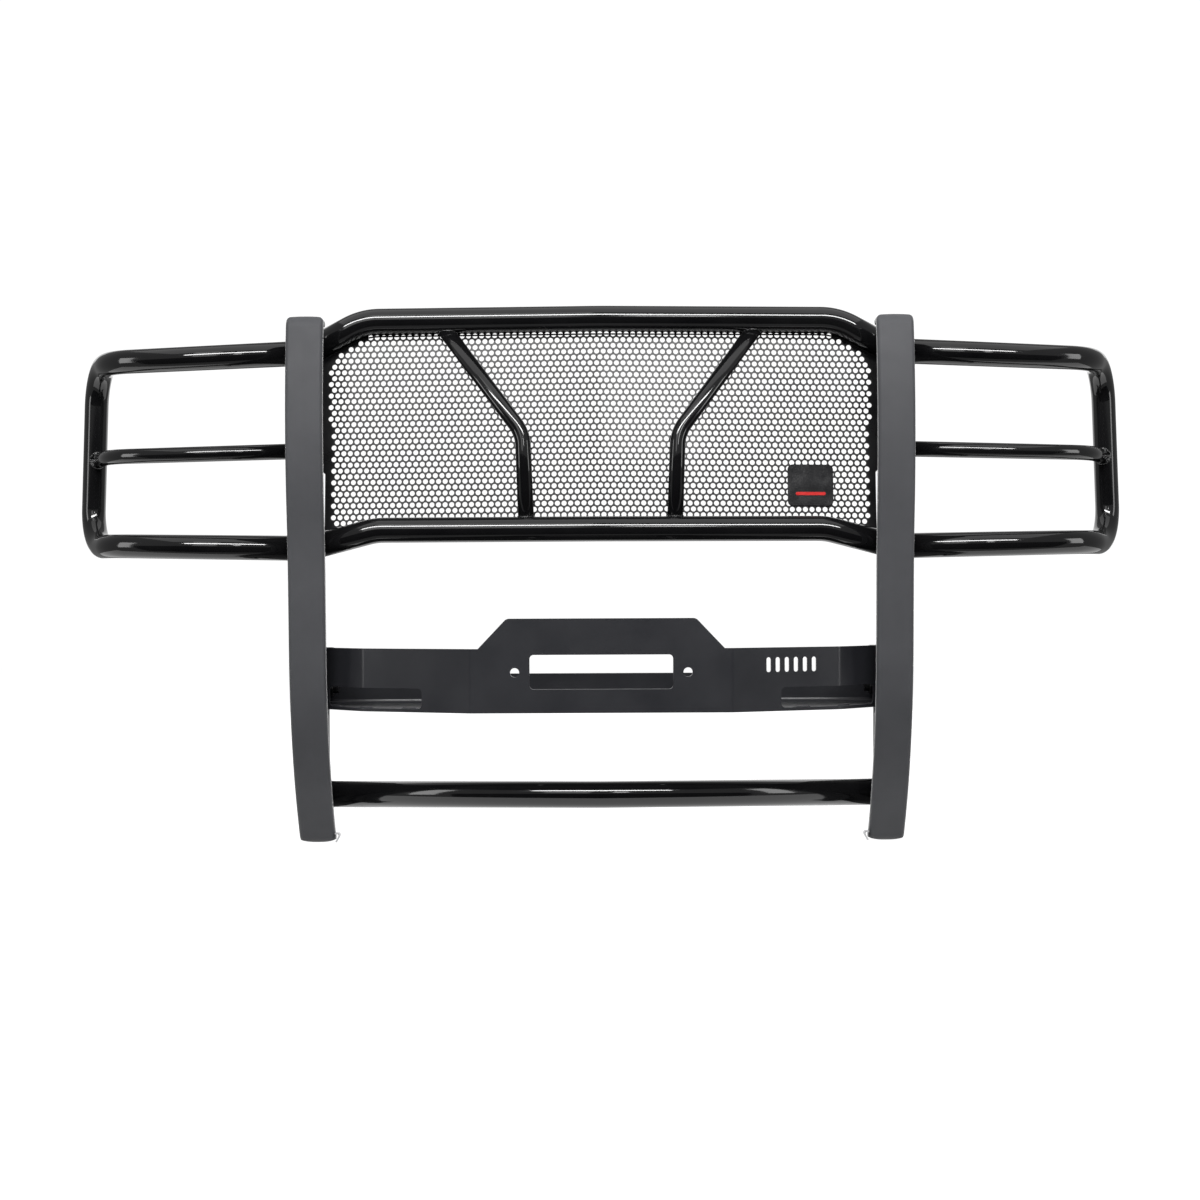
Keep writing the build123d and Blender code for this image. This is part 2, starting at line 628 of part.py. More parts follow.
# ---------------------------------------------------------------- badge
# A plain rounded plate on the front of the right sheet, held by two studs through holes of the sheet.
BADGE_PLACE = (321.0, 68.6)  # on the sheet, from the seam and from the lower crossbar
BADGE_SIZE = (70.0, 64.0)
BADGE = 3.0
BADGE_CORNER_R = 8.0
BADGE_EDGE = 0.6
ACCENT_SIZE = (46.0, 5.0)
ACCENT_DROP = 13.0
ACCENT = 0.8
BADGE_STUD_D = 5.0
BADGE_STUD = 9.0
BADGE_STUD_ROW = 26
BADGE_STUD_STEPS = (30, 34)
BADGE_NUT = 3.5
BADGE_NUT_FLATS = 11.0
badge_stud_v = TOP_ROW - BADGE_STUD_ROW * ROW_PITCH
badge_stud_places = [(step * HOLE_PITCH, badge_stud_v) for step in BADGE_STUD_STEPS]

with BuildPart() as badge_plate:
    with BuildSketch(sheet_plane):
        with Locations(BADGE_PLACE):
            RectangleRounded(*BADGE_SIZE, BADGE_CORNER_R)
    extrude(amount=BADGE)
    badge_front = badge_plate.faces().sort_by(Axis(sheet_plane.origin, sheet_plane.z_dir))[-1]
    chamfer(badge_front.edges(), BADGE_EDGE)

with BuildPart() as badge_accent:
    with BuildSketch(sheet_plane.offset(BADGE)):
        with Locations((BADGE_PLACE[0], BADGE_PLACE[1] - ACCENT_DROP)):
            RectangleRounded(*ACCENT_SIZE, ACCENT_SIZE[1] / 2 - 0.1)
    extrude(amount=ACCENT)

with BuildPart() as badge_studs:
    with BuildSketch(sheet_plane):
        with Locations(*badge_stud_places):
            Circle(BADGE_STUD_D / 2)
    extrude(amount=-BADGE_STUD)

# ---------------------------------------------------------------- hardware
TRAY_HEAD = 10.0
TRAY_FLATS = 24.0
TRAY_NUT = 13.0
TRAY_WASHER = 3.0
TRAY_WASHER_D = 30.0
TRAY_SHANK_END = 409.0
BRACKET_HEAD = 7.5
BRACKET_FLATS = 18.0
BRACKET_NUT = 10.5
BRACKET_WASHER = 2.5
BRACKET_WASHER_D = 24.0
BRACKET_SHANK_END = 470.0
STUD_NUT = 5.0
STUD_NUT_FLATS = 10.0
THREAD_PLAY = 0.15
HEX_CHAMFER = 1.0


def side_places(places):
    """Places on a plane square to X, from pairs of depth and height."""
    return [(FACE_Y + depth, z) for depth, z in places]


def hexagons(x, places, across_flats, height, bore=0.0):
    """Hexagon heads or nuts that stand on the plane at x and reach towards +X, or -X if negative."""
    with BuildPart() as blocks:
        with BuildSketch(Plane.YZ.offset(x)):
            with Locations(*side_places(places)):
                RegularPolygon(across_flats / 2, 6, major_radius=False)
        extrude(amount=height)
        ends = blocks.faces().filter_by(Axis.X).group_by(Axis.X)
        chamfer(ends[-1 if height > 0 else 0].edges(), HEX_CHAMFER)
        if bore:
            with BuildSketch(Plane.YZ.offset(x)):
                with Locations(*side_places(places)):
                    Circle(bore / 2)
            extrude(amount=height, mode=Mode.SUBTRACT)
    return blocks.part


def rounds(x, places, diameter, length, bore=0.0):
    """Shanks or washers that stand on the plane at x and reach towards +X, or -X if negative."""
    with BuildPart() as discs:
        with BuildSketch(Plane.YZ.offset(x)):
            with Locations(*side_places(places)):
                Circle(diameter / 2)
                if bore:
                    Circle(bore / 2, mode=Mode.SUBTRACT)
        extrude(amount=length)
    return discs.part


tray_nut_x = TRAY_HALF - TRAY_WASHER
bracket_washer_x = WEB_OUT + BRACKET
bracket_nut_x = bracket_washer_x + BRACKET_WASHER
tray_heads = hexagons(WEB_OUT, TRAY_BOLT_PLACES, TRAY_FLATS, TRAY_HEAD)
tray_shanks = rounds(WEB_OUT, TRAY_BOLT_PLACES, TRAY_BOLT_D, TRAY_SHANK_END - WEB_OUT)
bracket_heads = hexagons(WEB_IN, BRACKET_BOLT_PLACES, BRACKET_FLATS, -BRACKET_HEAD)
bracket_shanks = rounds(WEB_IN, BRACKET_BOLT_PLACES, BRACKET_BOLT_D, BRACKET_SHANK_END - WEB_IN)
tray_washer_row = rounds(
    TRAY_HALF, TRAY_BOLT_PLACES, TRAY_WASHER_D, -TRAY_WASHER, TRAY_BOLT_D + 2 * BOLT_PLAY
)
tray_nut_row = hexagons(
    tray_nut_x, TRAY_BOLT_PLACES, TRAY_FLATS, -TRAY_NUT, TRAY_BOLT_D + 2 * THREAD_PLAY
)
bracket_washer_row = rounds(
    bracket_washer_x, BRACKET_BOLT_PLACES, BRACKET_WASHER_D, BRACKET_WASHER, BRACKET_BOLT_D + 2 * BOLT_PLAY
)
bracket_nut_row = hexagons(
    bracket_nut_x, BRACKET_BOLT_PLACES, BRACKET_FLATS, BRACKET_NUT, BRACKET_BOLT_D + 2 * THREAD_PLAY
)

with BuildPart() as tray_bolts:
    add([tray_heads, tray_shanks])
    mirror(about=Plane.YZ)

with BuildPart() as tray_washers:
    add(tray_washer_row)
    mirror(about=Plane.YZ)

with BuildPart() as tray_nuts:
    add(tray_nut_row)
    mirror(about=Plane.YZ)

with BuildPart() as frame_bracket_bolts:
    add([bracket_heads, bracket_shanks])
    mirror(about=Plane.YZ)

with BuildPart() as frame_bracket_washers:
    add(bracket_washer_row)
    mirror(about=Plane.YZ)

with BuildPart() as frame_bracket_nuts:
    add(bracket_nut_row)
    mirror(about=Plane.YZ)

with BuildPart() as strip_studs:
    for place in stud_places():
        with BuildSketch(place.offset(STUD_IN_RUBBER)):
            Circle(STUD_D / 2)
        extrude(amount=-STUD_LENGTH)
    mirror(about=Plane.YZ)

with BuildPart() as strip_nuts:
    for place in stud_places():
        with BuildSketch(place.offset(-FLANGE)):
            RegularPolygon(STUD_NUT_FLATS / 2, 6, major_radius=False)
            Circle(STUD_D / 2 + THREAD_PLAY, mode=Mode.SUBTRACT)
        extrude(amount=-STUD_NUT)
    mirror(about=Plane.YZ)

with BuildPart() as badge_nuts:
    with BuildSketch(sheet_plane.offset(-SHEET_THROUGH)):
        with Locations(*badge_stud_places):
            RegularPolygon(BADGE_NUT_FLATS / 2, 6, major_radius=False)
            Circle(BADGE_STUD_D / 2 + THREAD_PLAY, mode=Mode.SUBTRACT)
    extrude(amount=-BADGE_NUT)

# ---------------------------------------------------------------- left pieces and files
paired = {
    "upright_web": right_upright_web,
    "upright_flange": right_upright_flange,
    "rubber_strip": right_rubber_strip,
    "brace": right_brace,
    "punch_sheet": right_punch_sheet,
    "wrap_hoop": right_wrap_hoop,
    "wrap_middle_bar": right_wrap_middle_bar,
    "tray_side_plate": right_tray_side_plate,
    "frame_bracket": right_frame_bracket,
    "strip_end_clip": right_strip_end_clip,
}
single = {
    "upper_crossbar": upper_crossbar,
    "lower_crossbar": lower_crossbar,
    "bottom_cross_tube": bottom_cross_tube,
    "winch_face_plate": winch_face_plate,
    "winch_tray": winch_tray,
    "tray_bolts": tray_bolts,
    "tray_washers": tray_washers,
    "tray_nuts": tray_nuts,
    "frame_bracket_bolts": frame_bracket_bolts,
    "frame_bracket_washers": frame_bracket_washers,
    "frame_bracket_nuts": frame_bracket_nuts,
    "strip_studs": strip_studs,
    "strip_nuts": strip_nuts,
    "badge_plate": badge_plate,
    "badge_accent": badge_accent,
    "badge_studs": badge_studs,
    "badge_nuts": badge_nuts,
}

for name, right_piece in paired.items():
    with BuildPart() as left_piece:
        mirror(right_piece.part, about=Plane.YZ)
    finish(right_piece, f"right_{name}")
    finish(left_piece, f"left_{name}")

for name, piece in single.items():
    finish(piece, name)
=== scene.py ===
import json
import math
import random

import bmesh
import bpy
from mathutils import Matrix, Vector
from mathutils.bvhtree import BVHTree


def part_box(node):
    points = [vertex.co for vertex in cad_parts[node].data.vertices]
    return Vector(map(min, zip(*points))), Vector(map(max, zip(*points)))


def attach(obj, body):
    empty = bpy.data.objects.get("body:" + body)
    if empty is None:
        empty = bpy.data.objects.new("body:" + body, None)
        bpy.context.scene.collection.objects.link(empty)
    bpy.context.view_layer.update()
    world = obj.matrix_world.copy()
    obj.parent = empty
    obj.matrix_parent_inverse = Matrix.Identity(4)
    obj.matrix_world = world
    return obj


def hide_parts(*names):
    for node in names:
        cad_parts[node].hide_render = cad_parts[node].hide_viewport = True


# A winch-mount grille guard for a pickup: powder-coated tubes and plates, a punched grille sheet and
# rubber-faced uprights. Metres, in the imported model's own frame: +X right, -Y front, +Z up.
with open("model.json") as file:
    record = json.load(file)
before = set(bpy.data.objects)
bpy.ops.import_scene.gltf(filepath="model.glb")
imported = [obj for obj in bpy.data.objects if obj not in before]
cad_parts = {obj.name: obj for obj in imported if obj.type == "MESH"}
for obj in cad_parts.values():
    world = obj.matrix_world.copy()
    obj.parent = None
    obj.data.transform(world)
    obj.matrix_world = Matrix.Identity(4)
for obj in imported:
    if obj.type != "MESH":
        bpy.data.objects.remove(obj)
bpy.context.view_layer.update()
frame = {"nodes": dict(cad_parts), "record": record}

BODY = "root"
NODES = frame["nodes"]


# ---------------------------------------------------------------- camera
# Where the photograph was taken from, as fitted to the guard's outline.
CAMERA_PLACE = (-0.0015, -2.9715, 0.3756)
CAMERA_LENS = 57.4
CAMERA_SENSOR = 36.0
CAMERA_ROLL = math.radians(0.25)
CAMERA_REACH = 100.0

camera_data = bpy.data.cameras.new("camera")
camera_data.lens = CAMERA_LENS
camera_data.sensor_width = CAMERA_SENSOR
camera_data.clip_end = CAMERA_REACH
camera = bpy.data.objects.new("camera", camera_data)
bpy.context.collection.objects.link(camera)
camera.location = CAMERA_PLACE
camera.rotation_euler = (math.radians(90), CAMERA_ROLL, 0)
bpy.context.scene.camera = camera


# ---------------------------------------------------------------- material helpers
MIX_FIRST, MIX_SECOND, MIX_COLOUR = 6, 7, 2  # the colour sockets of a Mix node
MICRON = 1e-6

# How fine each pattern is, in cycles to the metre.
CLOUDS = 9.0
BLOTCHES = 14.0
ORANGE_PEEL = 260.0
POWDER_GRAIN = 1500.0
RUBBER_BLOOM = 7.0
RUBBER_STREAKS = 120.0
RUBBER_WEAR = 40.0
RUBBER_TOOTH = 1900.0
BRUSHING = 700.0
SINK_PATCHES = 60.0
SINK_MARKS = 300.0
MOTTLE = 1.5


def start_material(name):
    """A new material with its node tree, shader and object coordinates, in metres of the row frame."""
    material = bpy.data.materials.new(name)
    material.use_nodes = True
    tree = material.node_tree
    shader = tree.nodes["Principled BSDF"]
    place = tree.nodes.new("ShaderNodeTexCoord").outputs["Object"]
    return material, tree, shader, place


def noise(tree, place, scale, detail=3.0, roughness=0.55, stretch=None):
    """Noise of a given scale, in cycles to the metre, optionally stretched along the axes."""
    if stretch:
        mapping = tree.nodes.new("ShaderNodeMapping")
        mapping.inputs["Scale"].default_value = stretch
        tree.links.new(place, mapping.inputs["Vector"])
        place = mapping.outputs["Vector"]
    node = tree.nodes.new("ShaderNodeTexNoise")
    node.inputs["Scale"].default_value = scale
    node.inputs["Detail"].default_value = detail
    node.inputs["Roughness"].default_value = roughness
    tree.links.new(place, node.inputs["Vector"])
    return node.outputs["Fac"]


def spread(tree, value, low, high, start=0.3, end=0.7):
    """Map the middle of a noise's range, start to end, onto low to high."""
    node = tree.nodes.new("ShaderNodeMapRange")
    node.inputs["From Min"].default_value = start
    node.inputs["From Max"].default_value = end
    node.inputs["To Min"].default_value = low
    node.inputs["To Max"].default_value = high
    tree.links.new(value, node.inputs["Value"])
    return node.outputs["Result"]


def blend_colours(tree, share, first, second):
    """Mix two colours by a share from 0 to 1."""
    node = tree.nodes.new("ShaderNodeMix")
    node.data_type = "RGBA"
    node.inputs[MIX_FIRST].default_value = (*first, 1)
    node.inputs[MIX_SECOND].default_value = (*second, 1)
    tree.links.new(share, node.inputs["Factor"])
    return node.outputs[MIX_COLOUR]


def bump(tree, height, distance, under=None):
    """Bump from a height, on top of another bump if there is one."""
    node = tree.nodes.new("ShaderNodeBump")
    node.inputs["Distance"].default_value = distance
    node.inputs["Strength"].default_value = 1.0
    tree.links.new(height, node.inputs["Height"])
    if under is not None:
        tree.links.new(under, node.inputs["Normal"])
    return node.outputs["Normal"]


def powder_coat(name, dark, light, roughness, peel, grain, coat):
    """Black powder coat: cloudy colour, uneven gloss, orange peel and a fine grain under a clear coat."""
    material, tree, shader, place = start_material(name)
    clouds = noise(tree, place, CLOUDS, detail=4.0)
    blotches = noise(tree, place, BLOTCHES, detail=2.0)
    colour = blend_colours(tree, spread(tree, clouds, 0, 1), dark, light)
    tree.links.new(colour, shader.inputs["Base Color"])
    tree.links.new(spread(tree, blotches, *roughness), shader.inputs["Roughness"])
    waves = bump(tree, noise(tree, place, ORANGE_PEEL, detail=2.0), peel)
    fine = bump(tree, noise(tree, place, POWDER_GRAIN, detail=2.0), grain, under=waves)
    tree.links.new(fine, shader.inputs["Normal"])
    shader.inputs["Coat Weight"].default_value = coat
    shader.inputs["Coat Roughness"].default_value = 0.05
    return material


def rubber():
    """Matt extruded rubber: faint streaks along its length, bloom, a fine tooth and a little dust."""
    material, tree, shader, place = start_material("strip_rubber")
    bloom = noise(tree, place, RUBBER_BLOOM, detail=5.0, roughness=0.6)
    streaks = noise(tree, place, RUBBER_STREAKS, stretch=(1.0, 0.05, 0.05))
    streak_share = 0.25
    mixed = tree.nodes.new("ShaderNodeMath")
    mixed.operation = "MULTIPLY_ADD"
    mixed.inputs[1].default_value = streak_share
    tree.links.new(streaks, mixed.inputs[0])
    tree.links.new(spread(tree, bloom, 0, 1 - streak_share), mixed.inputs[2])
    dark = (0.045, 0.046, 0.05)
    light = (0.061, 0.062, 0.067)
    colour = blend_colours(tree, mixed.outputs["Value"], dark, light)
    tree.links.new(colour, shader.inputs["Base Color"])
    wear = noise(tree, place, RUBBER_WEAR, detail=4.0)
    tree.links.new(spread(tree, wear, 0.5, 0.6), shader.inputs["Roughness"])
    tooth = bump(tree, noise(tree, place, RUBBER_TOOTH, roughness=0.7), 120 * MICRON)
    tree.links.new(bump(tree, streaks, 100 * MICRON, under=tooth), shader.inputs["Normal"])
    shader.inputs["Specular IOR Level"].default_value = 0.28
    shader.inputs["Sheen Weight"].default_value = 0.6
    shader.inputs["Sheen Roughness"].default_value = 0.3
    return material


def metal(name, dark, light, roughness):
    """Plated steel with a brushed grain."""
    material, tree, shader, place = start_material(name)
    shader.inputs["Metallic"].default_value = 0.9
    grain = noise(tree, place, BRUSHING, detail=4.0, stretch=(1.0, 1.0, 0.12))
    colour = blend_colours(tree, spread(tree, grain, 0, 1), dark, light)
    tree.links.new(colour, shader.inputs["Base Color"])
    tree.links.new(spread(tree, grain, *roughness), shader.inputs["Roughness"])
    tree.links.new(bump(tree, grain, 50 * MICRON), shader.inputs["Normal"])
    return material


def moulding(name, dark, light):
    """Glossy moulded plastic, with faint sink marks."""
    material, tree, shader, place = start_material(name)
    patches = noise(tree, place, SINK_PATCHES)
    colour = blend_colours(tree, spread(tree, patches, 0, 1), dark, light)
    tree.links.new(colour, shader.inputs["Base Color"])
    tree.links.new(spread(tree, patches, 0.12, 0.22), shader.inputs["Roughness"])
    tree.links.new(bump(tree, noise(tree, place, SINK_MARKS), 80 * MICRON), shader.inputs["Normal"])
    return material


MATERIALS = {
    "gloss_tube": powder_coat(
        "gloss_tube",
        dark=(0.003, 0.003, 0.0034),
        light=(0.006, 0.006, 0.0064),
        roughness=(0.07, 0.11),
        peel=0.5 * MICRON,
        grain=0.1 * MICRON,
        coat=0.15,
    ),
    "mesh_coat": powder_coat(
        "mesh_coat",
        dark=(0.004, 0.004, 0.0045),
        light=(0.008, 0.008, 0.009),
        roughness=(0.22, 0.32),
        peel=10 * MICRON,
        grain=4 * MICRON,
        coat=0.1,
    ),
    "plate_coat": powder_coat(
        "plate_coat",
        dark=(0.0135, 0.014, 0.0168),
        light=(0.021, 0.0215, 0.0248),
        roughness=(0.29, 0.36),
        peel=1.2 * MICRON,
        grain=0.2 * MICRON,
        coat=0.06,
    ),
    "strip_rubber": rubber(),
    "dark_fastener": metal("dark_fastener", (0.03, 0.03, 0.031), (0.07, 0.07, 0.072), (0.3, 0.45)),
    "bright_clip": metal("bright_clip", (0.38, 0.38, 0.39), (0.55, 0.55, 0.56), (0.25, 0.4)),
    "badge_black": moulding("badge_black", (0.006, 0.006, 0.007), (0.012, 0.012, 0.013)),
    "badge_red": moulding("badge_red", (0.42, 0.012, 0.012), (0.55, 0.02, 0.018)),
}

SLOT_OF = {subpart["node"]: subpart["material_slot"] for subpart in frame["record"]["subparts"]}
for name, slot_name in SLOT_OF.items():
    node = NODES[name]
    node.data.materials.clear()
    node.data.materials.append(MATERIALS[slot_name])


# ---------------------------------------------------------------- tubes
# Each tube is drawn again as a fine smooth skin on the CAD tube's own centre line.
WEB_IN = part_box("right_upright_web")[0][0]
WEB_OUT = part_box("right_upright_web")[1][0]
FACE_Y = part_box("winch_face_plate")[0][1]
TUBE_R = 0.01905
SLIM_R = 0.012
BOTTOM_R = 0.02065
UPPER_BAR_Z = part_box("upper_crossbar")[1][2] - TUBE_R
LOWER_BAR_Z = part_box("lower_crossbar")[1][2] - TUBE_R
BOTTOM_TUBE_Z = (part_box("bottom_cross_tube")[0][2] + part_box("bottom_cross_tube")[1][2]) / 2
PROW = math.radians(3.4)  # how far each half of the grille turns back from the middle
GRILLE_LEAN = math.radians(5.5)  # how far its top leans back
CROSSBAR_DEPTH = 0.078  # depths are measured back from the winch plate's face
BOTTOM_TUBE_DEPTH = 0.1557
UPPER_BEND = (0.362, math.radians(27.9))  # how far out the bar turns down, and by how much
LOWER_BEND = (0.341, math.radians(14.6))
END_BEND_R = 0.1
PROW_BEND_R = 0.25
PAST_WEB = 0.012  # how far a line runs on into the web before its tube is cut off there
BRACE_SETBACK = 0.005
BRACE_PLACES = ((0.2474, UPPER_BAR_Z), (0.118, 0.629), (0.112, LOWER_BAR_Z))  # x and z: top, bend, foot
BRACE_BEND_R = 0.06
WRAP_DEPTH = 0.102

# Each wrap has three levels: the hoop's upper leg, the middle bar and the hoop's lower leg.
WRAP_SIDE_Z = (0.7519, 0.6035, 0.4559)
WRAP_BEND_Z = (0.7552, 0.6059, 0.4645)
WRAP_END_X = (0.82, 0.8245, 0.829)
WRAP_BEND_X = 0.773
WRAP_BEND_DEPTH = 0.231
WRAP_END_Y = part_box("right_wrap_hoop")[1][1] - TUBE_R
WRAP_BEND_R = 0.09
WRAP_CORNER_R = 0.062
ARC_STEP = math.radians(2.5)
TUBE_SIDES = 72


def grille_y(x, z, behind=0.0):
    """Y of the crossbars' centre plane at a place, or of a plane parallel to it and behind it."""
    square = math.cos(PROW) * math.cos(GRILLE_LEAN)
    side = abs(x) * math.tan(PROW) / math.cos(GRILLE_LEAN)
    rise = (z - LOWER_BAR_Z) * math.tan(GRILLE_LEAN)
    return FACE_Y + CROSSBAR_DEPTH + side + rise + behind / square


def rounded(points, radii):
    """Points along straight runs joined by arcs that touch them."""
    points = [Vector(point) for point in points]
    line = [points[0]]
    for before, corner, after, radius in zip(points, points[1:], points[2:], radii):
        arriving = (corner - before).normalized()
        leaving = (after - corner).normalized()
        turn = arriving.angle(leaving)
        start = corner - arriving * radius * math.tan(turn / 2)
        inward = (leaving - arriving * arriving.dot(leaving)).normalized()
        centre = start + inward * radius
        steps = max(2, math.ceil(turn / ARC_STEP))
        for step in range(steps + 1):
            angle = turn * step / steps
            line.append(centre - inward * radius * math.cos(angle) + arriving * radius * math.sin(angle))
    line.append(points[-1])
    return line


def rings(line, radius):
    """A ring of points round each point of a line, without twist, and each ring's heading."""
    found = []
    heading = (line[1] - line[0]).normalized()
    across = heading.orthogonal().normalized()
    for index, centre in enumerate(line):
        ahead = line[min(index + 1, len(line) - 1)] - centre
        behind = centre - line[max(index - 1, 0)]
        heading = (ahead.normalized() + behind.normalized()).normalized() if index else ahead.normalized()
        across = (across - heading * across.dot(heading)).normalized()
        up = heading.cross(across)
        ring = []
        for side in range(TUBE_SIDES):
            angle = 2 * math.pi * side / TUBE_SIDES
            ring.append(centre + across * radius * math.cos(angle) + up * radius * math.sin(angle))
        found.append((ring, heading))
    return found


def cut_at_x(ring, heading, x):
    """Slide a ring's points along the tube onto the plane at x."""
    return [point + heading * ((x - point.x) / heading.x) for point in ring]


def cope(ring, heading, target, back=0.05):
    """Slide a ring's points along the tube, from some way back, onto the first surface that they meet."""
    coped = []
    for point in ring:
        hit = target.ray_cast(point - heading * back, heading)[0]
        coped.append(hit if hit is not None else point)
    return coped


def add_piece(name, mesh, slot_name, *replaced):
    """A finished mesh as a piece of the guard."""
    mesh.materials.append(MATERIALS[slot_name])
    piece = bpy.data.objects.new(name, mesh)
    bpy.context.collection.objects.link(piece)
    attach(piece, BODY)
    if replaced:
        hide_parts(*replaced)
    return piece


def skin(name, ring_list, caps=True):
    """A smooth closed mesh through rings of points."""
    sides = len(ring_list[0])
    vertices = [point for ring in ring_list for point in ring]
    faces = []
    for row in range(len(ring_list) - 1):
        here = row * sides
        ahead = here + sides
        for side in range(sides):
            beside = (side + 1) % sides
            faces.append((here + side, here + beside, ahead + beside, ahead + side))
    wall_faces = len(faces)
    if caps:
        faces.append(tuple(reversed(range(sides))))
        faces.append(tuple(range(len(vertices) - sides, len(vertices))))
    else:
        last = len(vertices) - sides
        for side in range(sides):
            beside = (side + 1) % sides
            faces.append((last + side, last + beside, beside, side))
        wall_faces = len(faces)
    mesh = bpy.data.meshes.new(name)
    mesh.from_pydata([tuple(v) for v in vertices], [], faces)
    for index, face in enumerate(mesh.polygons):
        face.use_smooth = index < wall_faces
    shape = bmesh.new()
    shape.from_mesh(mesh)
    bmesh.ops.recalc_face_normals(shape, faces=shape.faces)
    shape.to_mesh(mesh)
    shape.free()
    return mesh


def mirrored(ring_list):
    """The same rings on the other side of the guard."""
    return [[Vector((-p.x, p.y, p.z)) for p in ring] for ring in ring_list]


def tree_of(piece):
    """A search tree of a piece's surface."""
    corners = [vertex.co.copy() for vertex in piece.data.vertices]
    return BVHTree.FromPolygons(corners, [tuple(face.vertices) for face in piece.data.polygons])


def crossbar_line(bar_z, bend):
    """Centre line of a crossbar, from past the left web to past the right one."""
    bend_x, drop = bend
    end_x = WEB_IN + PAST_WEB
    end_z = bar_z - (end_x - bend_x) * math.tan(drop)
    places = [(-end_x, end_z), (-bend_x, bar_z), (0, bar_z), (bend_x, bar_z), (end_x, end_z)]
    radii = (END_BEND_R, PROW_BEND_R, END_BEND_R)
    return rounded([(x, grille_y(x, z), z) for x, z in places], radii)


def cross_tube(name, line, radius, node):
    """A tube from web to web. Returns its piece and its two end rings."""
    turned = rings(line, radius)
    loops = [ring for ring, heading in turned]
    loops[0] = cut_at_x(*turned[0], -WEB_IN)
    loops[-1] = cut_at_x(*turned[-1], WEB_IN)
    piece = add_piece(name, skin(name, loops), "gloss_tube", node)
    return piece, [loops[0], loops[-1]]


def wrap_run(level):
    """Start, bend and end of one leg of the right wrap."""
    run = WRAP_BEND_X - WEB_OUT
    sweep_back = (WRAP_BEND_DEPTH - WRAP_DEPTH) / run
    rise = (WRAP_BEND_Z[level] - WRAP_SIDE_Z[level]) / run
    start_y = FACE_Y + WRAP_DEPTH - PAST_WEB * sweep_back
    return [
        (WEB_OUT - PAST_WEB, start_y, WRAP_SIDE_Z[level] - PAST_WEB * rise),
        (WRAP_BEND_X, FACE_Y + WRAP_BEND_DEPTH, WRAP_BEND_Z[level]),
        (WRAP_END_X[level], WRAP_END_Y, WRAP_BEND_Z[level]),
    ]


upper_line = crossbar_line(UPPER_BAR_Z, UPPER_BEND)
lower_line = crossbar_line(LOWER_BAR_Z, LOWER_BEND)
reach = WEB_IN + PAST_WEB
bottom_y = FACE_Y + BOTTOM_TUBE_DEPTH
bottom_end_y = bottom_y + reach * math.tan(PROW)
bottom_corners = [
    (-reach, bottom_end_y, BOTTOM_TUBE_Z),
    (0, bottom_y, BOTTOM_TUBE_Z),
    (reach, bottom_end_y, BOTTOM_TUBE_Z),
]
bottom_line = rounded(bottom_corners, (PROW_BEND_R,))

upper_bar, upper_ends = cross_tube("upper_crossbar_skin", upper_line, TUBE_R, "upper_crossbar")
lower_bar, lower_ends = cross_tube("lower_crossbar_skin", lower_line, TUBE_R, "lower_crossbar")
bottom_ends = cross_tube("bottom_cross_tube_skin", bottom_line, BOTTOM_R, "bottom_cross_tube")[1]

hoop_corners = wrap_run(0) + wrap_run(2)[::-1]
hoop_radii = (WRAP_BEND_R, WRAP_CORNER_R, WRAP_CORNER_R, WRAP_BEND_R)
hoop_turned = rings(rounded(hoop_corners, hoop_radii), TUBE_R)
hoop_loops = [ring for ring, heading in hoop_turned]
hoop_loops[0] = cut_at_x(*hoop_turned[0], WEB_OUT)
hoop_loops[-1] = cut_at_x(*hoop_turned[-1], WEB_OUT)
hoops = {}
for side, loops in (("right", hoop_loops), ("left", mirrored(hoop_loops))):
    name = f"{side}_wrap_hoop_skin"
    hoops[side] = add_piece(name, skin(name, loops), "gloss_tube", f"{side}_wrap_hoop")

middle_turned = rings(rounded(wrap_run(1), (WRAP_BEND_R,)), SLIM_R)
middle_loops = [ring for ring, heading in middle_turned]
middle_loops[0] = cut_at_x(*middle_turned[0], WEB_OUT)
middle_loops[-1] = cope(*middle_turned[-1], tree_of(hoops["right"]))
for side, loops in (("right", middle_loops), ("left", mirrored(middle_loops))):
    name = f"{side}_wrap_middle_bar_skin"
    add_piece(name, skin(name, loops), "gloss_tube", f"{side}_wrap_middle_bar")

brace_corners = [(x, grille_y(x, z, BRACE_SETBACK), z) for x, z in BRACE_PLACES]
brace_turned = rings(rounded(brace_corners, (BRACE_BEND_R,)), SLIM_R)
brace_loops = [ring for ring, heading in brace_turned]
brace_loops[0] = cope(brace_turned[0][0], -brace_turned[0][1], tree_of(upper_bar))
brace_loops[-1] = cope(*brace_turned[-1], tree_of(lower_bar))
for side, loops in (("right", brace_loops), ("left", mirrored(brace_loops))):
    name = f"{side}_brace_skin"
    add_piece(name, skin(name, loops), "gloss_tube", f"{side}_brace")


# ---------------------------------------------------------------- weld beads
BEAD_STEP = 0.0007
BEAD_RIPPLE = 0.0027  # length of one ripple of a bead
BEAD_SIDES = 10
BEAD_TAPER = 5  # how many rings an open bead takes to die away at each end
BEAD_TIP = 0.06  # the square of the share of its radius that it keeps at the tip
THINNEST, SWELL, UNEVEN = 0.84, 0.2, 0.05  # how thick a bead is along a ripple, as shares of its radius
luck = random.Random(7)


